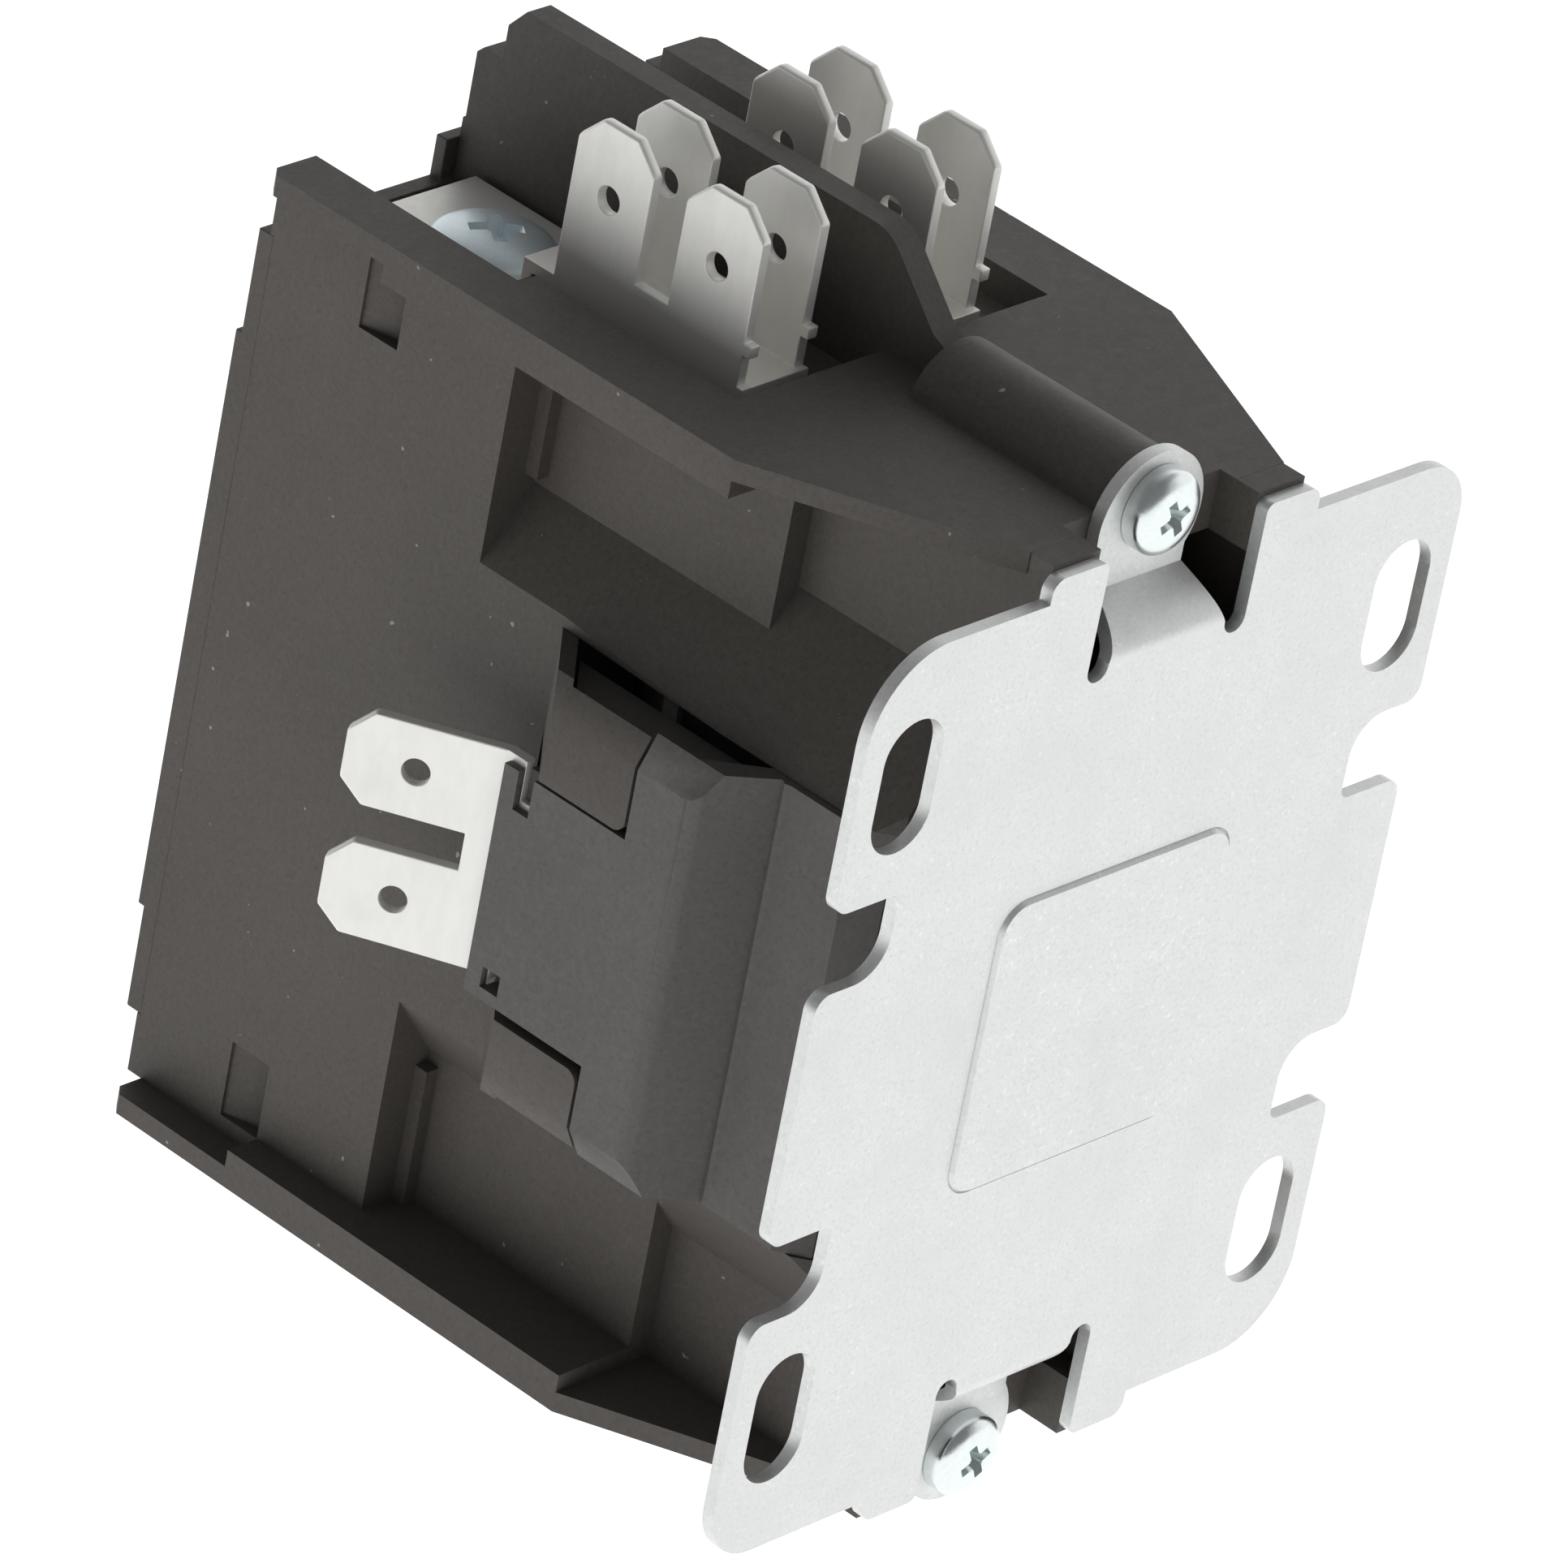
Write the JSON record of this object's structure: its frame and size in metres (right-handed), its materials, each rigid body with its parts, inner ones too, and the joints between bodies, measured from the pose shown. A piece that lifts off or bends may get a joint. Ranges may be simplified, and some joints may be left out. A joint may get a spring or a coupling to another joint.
{
  "type": "two-pole definite-purpose contactor",
  "caption": "Panel-mounted contactor with a moulded case, slotted back plate, double quick-connect line terminals, screw terminals and side coil blades.",
  "frame": {"origin": "centre of the mounting plate, on the plane of its back face", "axes": "+Y is the outward normal of the mounting plate's back, so the case stands out towards -Y; +Z points to the line terminals with the quick-connect blades; +X points to the right-hand coil terminal"},
  "size_m": [0.0516, 0.0618, 0.0838],
  "materials": {
    "zinc_plate": "satin zinc plating with a fine speckle",
    "zinc_screw": "bright zinc plating",
    "blue_zinc_screw": "bright blue-passivated zinc plating",
    "black_plastic": "fine matt moulded thermoset, warm black",
    "cover_plastic": "fine matt moulded plastic, warm black",
    "bobbin_plastic": "satin moulded nylon, neutral dark grey",
    "carrier_plastic": "matt moulded thermoset, red-brown",
    "enamelled_copper": "wound enamelled copper wire",
    "coil_tape": "black polyester coil tape",
    "lead_insulation": "enamelled wire",
    "tin_plate": "bright tin plating on brass",
    "copper": "bare copper",
    "brass_bar": "bare brass",
    "silver_alloy": "silver-alloy contact face",
    "lamination_steel": "stacked electrical steel",
    "steel": "plain steel",
    "spring_steel": "music wire",
    "pad_rubber": "soft rubber sheet"
  },
  "bodies": {
    "case": {"mounting_plate": "zinc_plate", "plate_screws": "zinc_screw", "housing": "black_plastic", "front_cover": "cover_plastic", "coil_bobbin": "bobbin_plastic", "coil_winding": "enamelled_copper", "coil_wrap": "coil_tape", "coil_leads": "lead_insulation", "coil_terminal_left": "tin_plate", "coil_terminal_right": "tin_plate", "magnet_core": "lamination_steel", "core_rivets": "steel", "shading_rings": "copper", "core_pad": "pad_rubber", "return_springs": "spring_steel", "line_bar_left": "brass_bar", "line_bar_right": "brass_bar", "load_bar_left": "brass_bar", "load_bar_right": "brass_bar", "fixed_tips": "silver_alloy", "quick_connect_left": "tin_plate", "quick_connect_right": "tin_plate", "terminal_screws": "blue_zinc_screw"},
    "magnet_carrier": {"contact_carrier": "carrier_plastic", "armature": "lamination_steel", "armature_rivets": "steel", "armature_pin": "steel", "contact_spring_left": "spring_steel", "contact_spring_right": "spring_steel"},
    "bridge_left": {"contact_bridge_left": "copper", "bridge_tips_left": "silver_alloy"},
    "bridge_right": {"contact_bridge_right": "copper", "bridge_tips_right": "silver_alloy"}
  },
  "joints": [
    {"name": "carrier_slide", "type": "slide", "parent": "case", "child": "magnet_carrier", "axis": [0, 1, 0], "range_m": [0, 0.0045], "stiffness_N_per_m": 400, "springref_m": -0.006, "deforming": ["return_springs"]},
    {"name": "bridge_left_slide", "type": "slide", "parent": "magnet_carrier", "child": "bridge_left", "axis": [0, -1, 0], "range_m": [0, 0.0015], "stiffness_N_per_m": 400, "springref_m": -0.003, "deforming": ["contact_spring_left"]},
    {"name": "bridge_right_slide", "type": "slide", "parent": "magnet_carrier", "child": "bridge_right", "axis": [0, -1, 0], "range_m": [0, 0.0015], "stiffness_N_per_m": 400, "springref_m": -0.003, "deforming": ["contact_spring_right"]}
  ],
  "couplings": [
    {"joint": "bridge_left_slide", "follows": "carrier_slide", "ratio": 0.33333},
    {"joint": "bridge_right_slide", "follows": "carrier_slide", "ratio": 0.33333}
  ]
}
